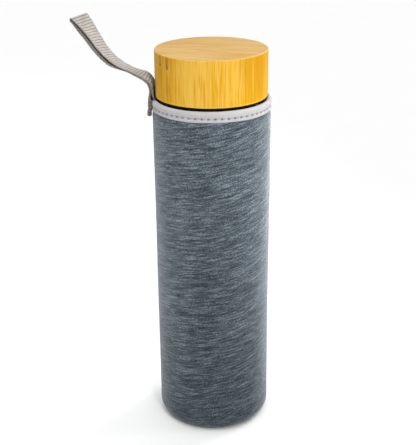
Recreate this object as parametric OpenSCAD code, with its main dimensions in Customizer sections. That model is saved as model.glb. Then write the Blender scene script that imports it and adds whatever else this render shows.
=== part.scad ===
// Glass water bottle in a padded fabric sleeve, with a turned bamboo screw cap
// and a webbing wrist strap. Millimetres. +Z is up, the origin is the centre of
// the sleeve's underside, the strap is on the -X side and the wall panel's
// closing seam is at +Y.

/* [Sleeve] */
// Outside radius of the sleeve
sleeve_r = 33.5; // [33.5:0.1:34.5]
// Thickness of the knit face
face_t = 0.5; // [0.4:0.05:0.6]
// Thickness of the foam core
foam_t = 1.6; // [1.4:0.1:1.6]
// Thickness of the lining
lining_t = 0.4; // [0.3:0.05:0.4]
// Radius of the rounded lower edge
corner_r = 6.6; // [6:0.1:7]
// Height of the rim, over the binding
rim_z = 201.3; // [200.8:0.1:201.3]
// Radius of the seam round the base panel
base_seam_r = 29.5; // [29:0.1:30]

/* [Binding] */
// Thickness of the binding tape
tape_t = 0.5; // [0.4:0.05:0.5]
// Depth of the binding below the rim
bind_depth = 5.8; // [5:0.1:7]
// Height of the stitch row above the binding's lower edge
stitch_up = 1.9; // [1.5:0.1:2.5]
// Stitches in one turn of the binding
stitch_n = 58; // [40:1:72]

/* [Bottle] */
// Free space between bottle and sleeve
bottle_gap = 0.3; // [0.3:0.05:0.5]
// Wall of the glass
glass_t = 2.2; // [1.8:0.1:2.6]
// Thickness of the glass bottom
glass_base_t = 5; // [4:0.5:8]
// Outside radius of the neck
neck_r = 24.8; // [24.6:0.1:24.9]
// Height of the lip
lip_z = 219; // [218.5:0.1:219]

/* [Cap] */
// Outside radius of the cap
cap_r = 31.8; // [31.4:0.1:31.9]
// Underside of the bamboo
cap_z = 202.8; // [202.6:0.1:203]
// Height of the bamboo
cap_h = 26; // [25:0.5:30]
// Radius of the bore in the bamboo
cap_bore_r = 28.3; // [28.2:0.1:28.6]
// Inside radius of the liner
liner_r = 26.6; // [26.5:0.1:26.8]

/* [Thread] */
// Rise of the cap for one full turn
lead = 5; // [4.5:0.1:5.5]
// Turns of the ridge on the neck and in the liner
turns = 1.5; // [1:0.25:1.75]

/* [Strap] */
// Width of the webbing
strap_w = 15; // [12:0.5:16]
// Thickness of the webbing
strap_t = 1; // [0.8:0.05:1]
// Depth of the strap's sewn ends below the rim
tail_depth = 8.6; // [7:0.1:9]

/* [Hidden] */
$fn = 96;

wall = face_t + foam_t + lining_t;
in_r = sleeve_r - wall;              // inside of the sleeve
bind_z = rim_z - bind_depth;         // lower edge of the binding
bind_out = sleeve_r + tape_t;
roll_r = (bind_out - in_r) / 2;      // the binding's rolled top
roll_c = (bind_out + in_r) / 2;
roll_z = rim_z - roll_r;
stitch_z = bind_z + stitch_up;
pinch_z = bind_z - 2.2;              // the wall narrows above this height

glass_r = in_r - bottle_gap;
glass_z = wall + bottle_gap;
sh_r = 10;                           // shoulder and neck fillet radii
fil_r = 3;
neck_z = rim_z - 0.3;                // the neck is straight above this height
sh_c = glass_r - sh_r;
fil_c = neck_r + fil_r;
sh_z = neck_z - sqrt(pow(sh_r + fil_r, 2) - pow(fil_c - sh_c, 2));
tan_r = sh_c + (fil_c - sh_c) * sh_r / (sh_r + fil_r);
tan_z = sh_z + (neck_z - sh_z) * sh_r / (sh_r + fil_r);

seal_z = lip_z + 0.3;
seal_h = 1.8;
roof_z = seal_z + seal_h + 0.3;      // underside of the liner's roof
bore_z = roof_z + 1.6;               // roof of the bamboo's bore
ridge_z = lip_z - 11.6;              // start of the ridge on the neck
ridge_drop = 2.4;                    // the liner's ridge runs this far below it

strap_az = 180;
root_r = sleeve_r - 0.1;             // the strap bends about this line
root_z = rim_z + 2.3;

// Route of the strap's middle, from its root to its fold: out from the root,
// up from the root, sideways, the turn of its width about the vertical, and
// the tilt of its width about the route.
strap_route = [[0, 0, 0, 0, 0], [0, 3.5, 0, 0, 0], [1, 7, 0, 4, 0], [4, 9.5, 0, 8, 0],
               [8.5, 11, 1, 12, -5], [15, 13.5, 2.5, 18, -8], [21.5, 17, 5, 24, -10],
               [28, 23, 8, 28, -12], [34, 31, 11.5, 28, -8], [41, 40, 15, 28, 0]];
// Half of the distance between the middles of the two plies, at each point
strap_half = [0.6, 0.6, 0.6, 0.6, 0.6, 0.6, 0.7, 0.8, 0.85, 0.8];

// ---- shared shapes ----

// Half section of a round solid with a rounded lower edge
module pot2d(r, z, rc, top) {
  translate([0, z]) square([r - rc, top - z]);
  translate([0, z + rc]) square([r, top - z - rc]);
  translate([r - rc, z + rc]) circle(r = rc);
}

// Half section of one layer of the sleeve between two depths from its face
module layer2d(d0, d1, top) {
  difference() {
    pot2d(sleeve_r - d0, d0, corner_r - d0, top);
    pot2d(sleeve_r - d1, d1, corner_r - d1, top + 5);
  }
}

// Space inside the folded binding tape
module bind_core2d() {
  translate([in_r + tape_t, bind_z - 5]) square([2 * (roll_r - tape_t), roll_z - bind_z + 5]);
  translate([roll_c, roll_z]) circle(r = roll_r - tape_t);
}

// Outline of the folded binding
module bind_out2d() {
  translate([in_r, bind_z]) square([2 * roll_r, roll_z - bind_z]);
  translate([roll_c, roll_z]) circle(r = roll_r);
}

// A layer of the wall, with its narrowed top inside the binding:
// in0 and in1 are its inside radius below and within the binding
module wall2d(d0, d1, in1) {
  intersection() {
    layer2d(d0, d1, pinch_z);
    translate([base_seam_r + 0.1, 0]) square([20, pinch_z]);
  }
  out0 = sleeve_r - d0;
  out1 = d0 == 0 ? sleeve_r : (d0 == face_t ? sleeve_r - face_t : in_r + tape_t + 0.3);
  intersection() {
    polygon([[sleeve_r - d1, pinch_z - 0.01], [out0, pinch_z - 0.01], [out1, bind_z - 0.2],
             [out1, rim_z], [in1, rim_z], [in1, bind_z - 0.2]]);
    union() {
      translate([in_r - 1, pinch_z - 1]) square([10, roll_z - pinch_z + 1]);
      translate([roll_c, roll_z]) circle(r = roll_r - tape_t);
    }
  }
}

// Part of a turn, centred on the strap
module strap_sector(half_angle) {
  rotate_extrude(angle = 2 * half_angle, start = strap_az - half_angle) children();
}

// Space pressed into the rim by the strap's inner end, and its outline grown by more
module pocket2d(more) {
  polygon([[in_r - 2, rim_z - tail_depth - more], [in_r + 1.1 + more, rim_z - tail_depth - more],
           [in_r + 1.1 + more, rim_z - 2.8], [in_r + 2.2 + more, rim_z + 0.9],
           [in_r + 2.2 + more, rim_z + 3], [in_r - 2, rim_z + 3]]);
}
function pocket_angle(more) = (strap_w / 2 + 0.35 + more) / in_r * 180 / PI;

module pocket(more) { strap_sector(pocket_angle(more)) pocket2d(more); }

// Closing seam of the wall panel
module seam_slit() { translate([-0.1, 0, -1]) cube([0.2, sleeve_r + 5, rim_z + 5]); }

// Helical ridge from radius ra to radius rb, around z0 at its start, with thinned ends
module ridge(ra, rb, rw, z0) {
  steps = round(turns * 36);
  function reach(i) = min(1, min(i, steps - i) / 3);
  function station(i) =
    let (a = 360 * turns * i / steps, z = z0 + lead * turns * i / steps,
         rc = rw + (rb - rw) * max(0.02, reach(i)), hw = 1.1, hc = 0.6)
    [for (q = [[ra, -hw], [rc, -hc], [rc, hc], [ra, hw]]) [q[0] * cos(a), q[0] * sin(a), z + q[1]]];
  pts = [for (i = [0 : steps]) each station(i)];
  flip = rb < ra;
  sides = [for (i = [0 : steps - 1], k = [0 : 3])
    let (a = 4 * i + k, b = 4 * i + (k + 1) % 4, c = b + 4, d = a + 4)
    each flip ? [[a, c, b], [a, d, c]] : [[a, b, c], [a, c, d]]];
  e = 4 * steps;
  ends = flip ? [[0, 1, 2], [0, 2, 3], [e, e + 2, e + 1], [e, e + 3, e + 2]]
              : [[0, 2, 1], [0, 3, 2], [e, e + 1, e + 2], [e, e + 2, e + 3]];
  polyhedron(points = pts, faces = concat(sides, ends), convexity = 6);
}

// ---- sleeve ----

module sleeve_knit() color("slategray") difference() {
  rotate_extrude() wall2d(0, face_t, sleeve_r - face_t);
  seam_slit();
}

module foam2d() wall2d(face_t, face_t + foam_t, in_r + tape_t + 0.3);

// The foam is thinner behind the strap's inner end
module sleeve_foam() color("dimgray") {
  half = pocket_angle(0.4);
  slit = 0.1 / sleeve_r * 180 / PI;
  lap = 0.1;
  rotate_extrude(angle = strap_az - half - 90 - slit + lap, start = 90 + slit) foam2d();
  rotate_extrude(angle = 450 - slit - strap_az - half + lap, start = strap_az + half - lap) foam2d();
  strap_sector(half) difference() {
    foam2d();
    pocket2d(0.4);
  }
}

module sleeve_lining() color("darkslategray") difference() {
  union() {
    difference() {
      rotate_extrude() wall2d(face_t + foam_t, wall, in_r + tape_t);
      pocket(0.4);
    }
    strap_sector(pocket_angle(0.4)) intersection() {
      pocket2d(0.4);
      translate([in_r, bind_z - 10]) square([5, 9.95]);
    }
  }
  seam_slit();
  pocket(0);
}

module base_layer(d0, d1) rotate_extrude() intersection() {
  layer2d(d0, d1, 20);
  square([base_seam_r - 0.1, 10]);
}

module base_knit() color("slategray") base_layer(0, face_t);
module base_foam() color("dimgray") base_layer(face_t, face_t + foam_t);
module base_lining() color("darkslategray") base_layer(face_t + foam_t, wall);

module rim_binding() color("lightgray") difference() {
  union() {
    difference() {
      rotate_extrude() difference() {
        bind_out2d();
        bind_core2d();
        translate([bind_out - 0.22, stitch_z - 0.25]) square([1, 0.5]);
        translate([in_r - 0.78, stitch_z - 0.25]) square([1, 0.5]);
      }
      pocket(0.4);
    }
    strap_sector(pocket_angle(0.4)) intersection() {
      pocket2d(0.4);
      bind_out2d();
    }
  }
  pocket(0);
}

// One short stitch of round thread that follows the wall
module stitch(r, z, tr, a, len_angle) {
  rotate_extrude(angle = len_angle, start = a - len_angle / 2) translate([r, z]) circle(r = tr, $fn = 24);
}

function off_strap(a) = abs(a - strap_az);

module rim_needle_thread() color("gainsboro")
  for (i = [0 : stitch_n - 1]) {
    a = (i + 0.5) * 360 / stitch_n;
    if (off_strap(a) > 16) stitch(bind_out - 0.04, stitch_z, 0.17, a, 288 / stitch_n);
  }

module rim_bobbin_thread() color("gainsboro")
  for (i = [0 : stitch_n - 1]) {
    a = (i + 0.5) * 360 / stitch_n;
    if (off_strap(a) > 19) stitch(in_r + 0.12, stitch_z, 0.09, a, 288 / stitch_n);
  }

module side_seam_thread() color("slategray")
  for (z = [10 : 3 : bind_z - 4]) stitch(sleeve_r + 0.16, z, 0.15, 90, 5);

module base_seam_thread() color("slategray") {
  dip = asin((base_seam_r - sleeve_r + corner_r) / corner_r);
  for (i = [0 : 59]) rotate([0, 0, 6 * i + 3])
    translate([base_seam_r, 0, corner_r - corner_r * cos(dip)]) rotate([0, 90 - dip, 0])
      translate([0.13, 0, -0.65]) cylinder(r = 0.1, h = 1.3, $fn = 24);
}

// ---- strap ----

function mix4(a, b, c, d, t) = 0.5 * (2 * b + (c - a) * t + (2 * a - 5 * b + 4 * c - d) * t * t
                                      + (3 * b - a - 3 * c + d) * t * t * t);
strap_cuts = 3;
last = len(strap_route) - 1;
function knot(i) = strap_route[min(last, max(0, i))];
function along(k) =
  let (i = min(last - 1, floor(k / strap_cuts)), t = k / strap_cuts - i)
  mix4(knot(i - 1), knot(i), knot(i + 1), knot(i + 2), t);
function half_at(k) =
  let (i = min(last - 1, floor(k / strap_cuts)), t = k / strap_cuts - i)
  strap_half[i] + (strap_half[i + 1] - strap_half[i]) * t;
function place(q) = [-root_r - q[0], q[2], root_z + q[1]];
function unit(v) = v / norm(v);
function wide(q, way) =
  let (level = [sin(q[3]), cos(q[3]), 0], rise = unit(cross(level, way)))
  level * cos(q[4]) + rise * sin(q[4]);

module strap_loop() color("tan") {
  n = strap_cuts * last;
  turn = 6;
  mids = [for (k = [0 : n]) place(along(k))];
  ways = [for (k = [0 : n]) unit(mids[min(n, k + 1)] - mids[max(0, k - 1)])];
  wides = [for (k = [0 : n]) wide(along(k), ways[k])];
  ups = [for (k = [0 : n]) unit(cross(wides[k], ways[k]))];
  rings = concat(
    [for (k = [0 : n]) [mids[k] + ups[k] * half_at(k), ups[k], wides[k]]],
    [for (j = [1 : turn - 1]) let (a = 180 * j / turn, d = ups[n] * cos(a) + unit(cross(ups[n], wides[n])) * sin(a))
      [mids[n] + d * half_at(n), d, wides[n]]],
    [for (k = [n : -1 : 0]) [mids[k] - ups[k] * half_at(k), -ups[k], wides[k]]],
    [for (j = [1 : turn - 1]) let (a = 180 * j / turn, d = -ups[0] * cos(a) - unit(cross(ups[0], wides[0])) * sin(a))
      [mids[0] + d * half_at(0), d, wides[0]]]);
  m = len(rings);
  pts = [for (r = rings) each [for (s = [[1, -1], [1, 1], [-1, 1], [-1, -1]])
    r[0] + r[1] * s[0] * strap_t / 2 + r[2] * s[1] * strap_w / 2]];
  faces = [for (i = [0 : m - 1], k = [0 : 3])
    let (a = 4 * i + k, b = 4 * i + (k + 1) % 4, c = 4 * ((i + 1) % m) + (k + 1) % 4, d = 4 * ((i + 1) % m) + k)
    each [[a, c, b], [a, d, c]]];
  polyhedron(points = pts, faces = faces, convexity = 10);
}

module strap_inner_tail() color("tan")
  strap_sector(strap_w / 2 / (in_r + 0.5) * 180 / PI)
    polygon([[in_r + 0.05, rim_z - tail_depth + 0.3], [in_r + 0.05 + strap_t, rim_z - tail_depth + 0.3],
             [in_r + 0.05 + strap_t, rim_z - 2.7], [in_r + 1.1 + strap_t, rim_z + 0.75],
             [in_r + 1.1, rim_z + 0.75], [in_r + 0.05, rim_z - 2.7]]);

module strap_outer_tail() color("tan")
  strap_sector(strap_w / 2 / (bind_out + 0.5) * 180 / PI)
    polygon([[bind_out + 0.05, rim_z - tail_depth - 0.2], [bind_out + 0.05 + strap_t, rim_z - tail_depth - 0.2],
             [bind_out + 0.05 + strap_t, rim_z - 1.7], [bind_out - 0.25 + strap_t, rim_z + 0.2],
             [bind_out - 0.25, rim_z + 0.2], [bind_out + 0.05, rim_z - 1.7]]);

module strap_bartack() color("gainsboro")
  for (i = [-10 : 10])
    rotate_extrude(angle = 0.55, start = strap_az + 1.08 * i - 0.275)
      translate([bind_out + 0.05 + strap_t, stitch_z - 1]) square([0.2, 2]);

// ---- bottle ----

// Half section of the bottle's outside, moved inward by d
module bottle2d(d, z0, rc, top) {
  pot2d(glass_r - d, z0, rc, sh_z);
  intersection() {
    translate([sh_c, sh_z]) circle(r = sh_r - d);
    translate([0, sh_z - 0.01]) square([40, 20]);
  }
  translate([0, sh_z - 0.01]) square([neck_r - d, top - sh_z + 0.01]);
  difference() {
    polygon([[sh_c, sh_z], [fil_c, neck_z], [0, neck_z], [0, sh_z]]);
    translate([fil_c, neck_z]) circle(r = fil_r + d);
  }
}

module glass_bottle() color("lightcyan", 0.5) {
  rotate_extrude() difference() {
    union() {
      bottle2d(0, glass_z, 5, lip_z - glass_t / 2);
      translate([neck_r - glass_t / 2, lip_z - glass_t / 2]) circle(r = glass_t / 2);
    }
    difference() {
      bottle2d(glass_t, glass_z + glass_base_t, 4, lip_z + 5);
      translate([neck_r - glass_t / 2, lip_z - glass_t / 2]) circle(r = glass_t / 2);
    }
  }
  ridge(neck_r - 0.4, neck_r + 1.3, neck_r, ridge_z);
}

// ---- cap ----

module bamboo_cap() color("goldenrod") rotate_extrude()
  polygon([[0, cap_z + cap_h], [cap_r - 0.3, cap_z + cap_h], [cap_r, cap_z + cap_h - 0.3],
           [cap_r, cap_z + 0.3], [cap_r - 0.3, cap_z], [cap_bore_r, cap_z],
           [cap_bore_r, bore_z], [0, bore_z]]);

module cap_insert() color("black") {
  rotate_extrude()
    polygon([[0, bore_z], [cap_bore_r, bore_z], [cap_bore_r, cap_z], [cap_r - 0.4, cap_z],
             [cap_r - 0.4, cap_z - 0.9], [cap_r - 0.6, cap_z - 1.1], [liner_r, cap_z - 1.1],
             [liner_r, roof_z], [0, roof_z]]);
  ridge(liner_r + 0.4, liner_r - 1.3, liner_r, ridge_z - ridge_drop);
}

module cap_seal() color("whitesmoke") rotate_extrude()
  translate([20, seal_z]) square([liner_r - 0.4 - 20, seal_h]);

sleeve_knit();
sleeve_foam();
sleeve_lining();
base_knit();
base_foam();
base_lining();
rim_binding();
rim_needle_thread();
rim_bobbin_thread();
side_seam_thread();
base_seam_thread();
strap_loop();
strap_inner_tail();
strap_outer_tail();
strap_bartack();
glass_bottle();
bamboo_cap();
cap_insert();
cap_seal();
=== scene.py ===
import math

import bmesh
import bpy
import numpy as np
from mathutils import Matrix, Vector


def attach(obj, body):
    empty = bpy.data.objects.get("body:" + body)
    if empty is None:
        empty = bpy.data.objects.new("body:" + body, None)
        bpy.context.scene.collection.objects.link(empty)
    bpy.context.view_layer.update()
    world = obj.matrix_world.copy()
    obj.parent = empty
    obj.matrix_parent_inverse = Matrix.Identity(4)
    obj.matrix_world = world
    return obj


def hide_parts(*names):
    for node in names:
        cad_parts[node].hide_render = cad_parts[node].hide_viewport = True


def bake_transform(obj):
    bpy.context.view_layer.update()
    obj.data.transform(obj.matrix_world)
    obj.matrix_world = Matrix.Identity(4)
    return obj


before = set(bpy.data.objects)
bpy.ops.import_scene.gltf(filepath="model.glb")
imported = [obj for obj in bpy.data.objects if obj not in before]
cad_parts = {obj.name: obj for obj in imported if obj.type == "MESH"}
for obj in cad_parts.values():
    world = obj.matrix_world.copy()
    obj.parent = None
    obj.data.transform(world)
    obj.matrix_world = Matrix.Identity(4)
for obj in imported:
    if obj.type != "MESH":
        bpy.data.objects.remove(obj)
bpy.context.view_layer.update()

PI = math.pi
rng = np.random.default_rng(11)

# ------------------------------------------------------------------ numbers
# Millimetres, as in the construction.
SLEEVE_R, FACE, FOAM, LINING = 33.5, 0.5, 1.6, 0.4
IN_R = SLEEVE_R - FACE - FOAM - LINING
CORNER = 6.6
RIM_Z, BIND_Z, STITCH_Z, ROLL_Z = 201.3, 195.5, 197.4, 199.8
ROLL_C, ROLL_R = 32.5, 1.5
STITCHES = 58
CAP_R, CAP_Z, CAP_TOP = 31.8, 202.8, 228.8
STRAP_PHI = -PI / 2          # the strap's side, where 0 is the front and + is to the right


# ------------------------------------------------------------------ helpers
def smooth(x, a, b):
    t = np.clip((x - a) / (b - a), 0, 1)
    return t * t * (3 - 2 * t)


def bump(x, c, w):
    return np.exp(-((x - c) / w) ** 2)


def arc(cx, cz, r, a0, a1, n):
    a = np.radians(np.linspace(a0, a1, n))
    return np.stack([cx + r * np.cos(a), cz + r * np.sin(a)], -1)


def line(p, q, n):
    t = np.linspace(0, 1, n)[:, None]
    return np.array(p, float) * (1 - t) + np.array(q, float) * t


def chain(*parts):
    pts = [np.atleast_2d(np.array(p, float)) for p in parts]
    out = np.vstack(pts)
    keep = [0]
    for i in range(1, len(out)):
        if np.linalg.norm(out[i] - out[keep[-1]]) > 1e-4:
            keep.append(i)
    return out[keep]


def nat_spline(t, y, tq):
    """Natural cubic spline through (t, y), read at tq."""
    t, y = np.asarray(t, float), np.asarray(y, float)
    n = len(t)
    h = np.diff(t)
    a = np.zeros((n, n))
    r = np.zeros_like(y)
    a[0, 0] = a[-1, -1] = 1
    for i in range(1, n - 1):
        a[i, i - 1 : i + 2] = h[i - 1], 2 * (h[i - 1] + h[i]), h[i]
        r[i] = 6 * ((y[i + 1] - y[i]) / h[i] - (y[i] - y[i - 1]) / h[i - 1])
    m = np.linalg.solve(a, r)
    k = np.clip(np.searchsorted(t, tq, side="right") - 1, 0, n - 2)
    d, e, hk = (tq - t[k])[:, None], (t[k + 1] - tq)[:, None], h[k][:, None]
    return (m[k] * e**3 + m[k + 1] * d**3) / (6 * hk) + (y[k] / hk - m[k] * hk / 6) * e + (y[k + 1] / hk - m[k + 1] * hk / 6) * d


def lattice(shape, seed):
    """Smooth noise from -1 to 1 on a repeating lattice of that shape."""
    g = np.random.default_rng(seed).uniform(-1, 1, shape)

    def read(u, v):
        iu, iv = np.floor(u).astype(int), np.floor(v).astype(int)
        fu, fv = u - iu, v - iv
        fu, fv = fu * fu * (3 - 2 * fu), fv * fv * (3 - 2 * fv)
        w, h = shape
        p = lambda i, j: g[i % w, j % h]
        return (p(iu, iv) * (1 - fu) + p(iu + 1, iv) * fu) * (1 - fv) + (p(iu, iv + 1) * (1 - fu) + p(iu + 1, iv + 1) * fu) * fv

    return read


def unit(v):
    return v / np.maximum(np.linalg.norm(v, axis=-1, keepdims=True), 1e-12)


def corners(m):
    return np.stack([m[:-1, :-1], m[:-1, 1:], m[1:, 1:], m[1:, :-1]], -2).reshape(-1, 4, m.shape[-1])


class Build:
    """Collects surfaces in millimetres and makes one mesh from them."""

    def __init__(self):
        self.co, self.n = [], 0
        self.quads, self.quad_uv, self.quad_bake, self.quad_mat = [], [], [], []
        self.tris, self.tri_uv, self.tri_bake, self.tri_mat = [], [], [], []
        self.marks = []

    def grid(self, p, close_i=False, close_j=False, uv=None, bake=None, mat=0, row_mat=None, marks=None, pole0=None, pole1=None):
        """p is rows by columns of points. A map has one more row or column where that way closes."""
        k, n = p.shape[:2]
        ids = self.n + np.arange(k * n).reshape(k, n)
        self.co.append(p.reshape(-1, 3))
        self.n += k * n
        mk = {key: np.broadcast_to(val, (k, n)).reshape(-1) for key, val in (marks or {}).items()}
        self.marks.append((k * n, mk))
        i = np.vstack([ids, ids[:1]]) if close_i else ids
        i = np.hstack([i, i[:, :1]]) if close_j else i
        rows, cols = i.shape
        if uv is None:
            uv = np.zeros((rows, cols, 2))
        if bake is None:
            u, v = np.meshgrid(np.linspace(0.01, 0.99, cols), np.linspace(0.01, 0.99, rows))
            bake = np.stack([u, v], -1)
        self.quads.append(corners(i[..., None])[..., 0])
        self.quad_uv.append(corners(uv))
        self.quad_bake.append(corners(bake))
        rm = np.full(rows - 1, mat) if row_mat is None else np.asarray(row_mat)[: rows - 1]
        self.quad_mat.append(np.repeat(rm, cols - 1))
        for pole, row, first in ((pole0, 0, True), (pole1, -1, False)):
            if pole is None:
                continue
            at, at_uv, at_bake, at_marks = pole
            pid = self.n
            self.co.append(np.array([at], float))
            self.n += 1
            self.marks.append((1, {key: np.array([val]) for key, val in at_marks.items()}))
            a, b = i[row, :-1], i[row, 1:]
            ua, ub, ba, bb = uv[row, :-1], uv[row, 1:], bake[row, :-1], bake[row, 1:]
            up = (ua + ub) / 2 if at_uv is None else np.broadcast_to(at_uv, ua.shape)
            bp = np.stack([(ba[:, 0] + bb[:, 0]) / 2, np.full(len(ba), at_bake)], -1)
            pp = np.full(len(a), pid)
            order = (lambda x, y, z: np.stack([z, y, x], 1)) if first else (lambda x, y, z: np.stack([x, y, z], 1))
            self.tris.append(order(a, b, pp))
            self.tri_uv.append(order(ua, ub, up))
            self.tri_bake.append(order(ba, bb, bp))
            self.tri_mat.append(np.full(len(a), rm[row]))
        return ids

    def make(self, name, mats, body=None, nodes=(), flat_shade=False):
        me = bpy.data.meshes.new(name)
        co = np.vstack(self.co) * 0.001
        q = np.vstack(self.quads) if self.quads else np.zeros((0, 4), int)
        t = np.vstack(self.tris) if self.tris else np.zeros((0, 3), int)
        cat = lambda a, b, w: np.vstack([x.reshape(-1, w) for x in a + b])
        uv, bake = cat(self.quad_uv, self.tri_uv, 2), cat(self.quad_bake, self.tri_bake, 2)
        mat = np.concatenate(self.quad_mat + self.tri_mat)
        loops = np.concatenate([q.ravel(), t.ravel()])
        starts = np.concatenate([np.arange(len(q)) * 4, len(q) * 4 + np.arange(len(t)) * 3])
        me.vertices.add(len(co))
        me.vertices.foreach_set("co", co.astype(np.float32).ravel())
        me.loops.add(len(loops))
        me.loops.foreach_set("vertex_index", loops.astype(np.int32))
        me.polygons.add(len(starts))
        me.polygons.foreach_set("loop_start", starts.astype(np.int32))
        me.polygons.foreach_set("material_index", mat.astype(np.int32))
        me.polygons.foreach_set("use_smooth", np.full(len(starts), not flat_shade))
        for key, data in (("OFBake", bake), ("cloth", uv)):
            me.uv_layers.new(name=key).data.foreach_set("uv", data.astype(np.float32).ravel())
        names = sorted({k for _, m in self.marks for k in m})
        for key in names:
            vals = np.concatenate([m.get(key, np.zeros(c)) for c, m in self.marks])
            me.attributes.new(key, "FLOAT", "POINT").data.foreach_set("value", vals.astype(np.float32))
        me.update(calc_edges=True)
        bm = bmesh.new()
        bm.from_mesh(me)
        bmesh.ops.recalc_face_normals(bm, faces=bm.faces)
        bm.to_mesh(me)
        bm.free()
        for m in mats:
            me.materials.append(m)
        ob = bpy.data.objects.new(name, me)
        bpy.context.scene.collection.objects.link(ob)
        if body:
            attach(ob, body)
        if nodes:
            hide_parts(*nodes)
        return ob


def revolve(b, prof, phis, disp=None, ref_r=None, mat=0, row_mat=None, marks=None, poles=False, planar=False):
    """Turns a section of (radius, height) points, listed anticlockwise, about +Z. A section
    with poles starts and ends on the axis; any other section closes on itself."""
    prof = np.array(prof, float)
    ends = None
    if poles:
        ends, prof = (prof[0], prof[-1]), prof[1:-1]
    ph = np.asarray(phis, float)
    r = np.repeat(prof[:, :1], len(ph), 1)
    z = np.repeat(prof[:, 1:], len(ph), 1)
    p = np.repeat(ph[None], len(prof), 0)
    if disp is not None:
        r, z, p = disp(r, z, p)
    pts = np.stack([r * np.sin(p), -r * np.cos(p), z], -1)
    whole = np.vstack([prof, prof[:1]]) if not poles else prof
    step = np.linalg.norm(np.diff(whole, axis=0), axis=1)
    s = np.concatenate([[0], np.cumsum(step)])
    lead = np.linalg.norm(ends[0] - prof[0]) if poles else 0
    tail = np.linalg.norm(ends[1] - prof[-1]) if poles else 0
    ph1 = np.concatenate([ph, [ph[0] + 2 * PI]])
    total = lead + s[-1] + tail
    u, v = np.meshgrid((ph1 - ph1[0]) / (2 * PI), (s + lead) / total)
    bake = 0.004 + 0.992 * np.stack([u, v], -1)
    if planar:
        full = np.hstack([pts, pts[:, :1]])
        uv = (np.vstack([full, full[:1]]) if not poles else full)[..., :2] * 0.001
    else:
        rr = ref_r or prof[:, 0].max()
        uu, vv = np.meshgrid(ph1 * rr, s)
        uv = np.stack([uu, vv], -1) * 0.001
    mk = {key: fn(r, z, p) for key, fn in (marks or {}).items()}
    at = {}
    if poles:
        zero = {key: 0.0 for key in mk}
        at = {
            "pole0": ((0, 0, ends[0][1]), (0, 0) if planar else None, 0.004, zero),
            "pole1": ((0, 0, ends[1][1]), (0, 0) if planar else None, 0.996, zero),
        }
    b.grid(pts, close_i=not poles, close_j=True, uv=uv, bake=bake, mat=mat, row_mat=row_mat, marks=mk, **at)


def tube(b, path, radius, sides=8, ply=0.0, pitch=1.0, phase=0.0, mat=0, marks=None):
    """A round thread along a path, with rounded ends. ply raises two twisted strands."""
    path = np.asarray(path, float)
    n = len(path)
    rad = np.broadcast_to(np.asarray(radius, float), (n,)).copy()
    tan = unit(np.gradient(path, axis=0))
    s = np.concatenate([[0], np.cumsum(np.linalg.norm(np.diff(path, axis=0), axis=1))])
    ref = np.array([0.0, 0.0, 1.0]) if abs(tan[0][2]) < 0.9 else np.array([1.0, 0, 0])
    n1 = np.zeros_like(path)
    cur = ref
    for i in range(n):
        cur = cur - tan[i] * (cur @ tan[i])
        cur = cur / max(np.linalg.norm(cur), 1e-9)
        n1[i] = cur
    n2 = np.cross(tan, n1)
    a = np.linspace(0, 2 * PI, sides, endpoint=False)
    lay = 1 + ply * np.cos(2 * (a[None] - 2 * PI * s[:, None] / pitch / 2) + phase)
    ring = rad[:, None] * lay
    p = path[:, None] + ring[..., None] * (np.cos(a)[None, :, None] * n1[:, None] + np.sin(a)[None, :, None] * n2[:, None])
    u, v = np.meshgrid(np.linspace(0, 2 * PI, sides + 1) * rad.max(), s)
    zero = {k: v0 for k, v0 in (marks or {}).items()}
    b.grid(
        p, close_j=True, uv=np.stack([u, v], -1) * 0.001, mat=mat, marks=marks,
        pole0=(path[0] - tan[0] * rad[0] * 0.5, None, 0.0, zero), pole1=(path[-1] + tan[-1] * rad[-1] * 0.5, None, 1.0, zero),
    )


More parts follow.
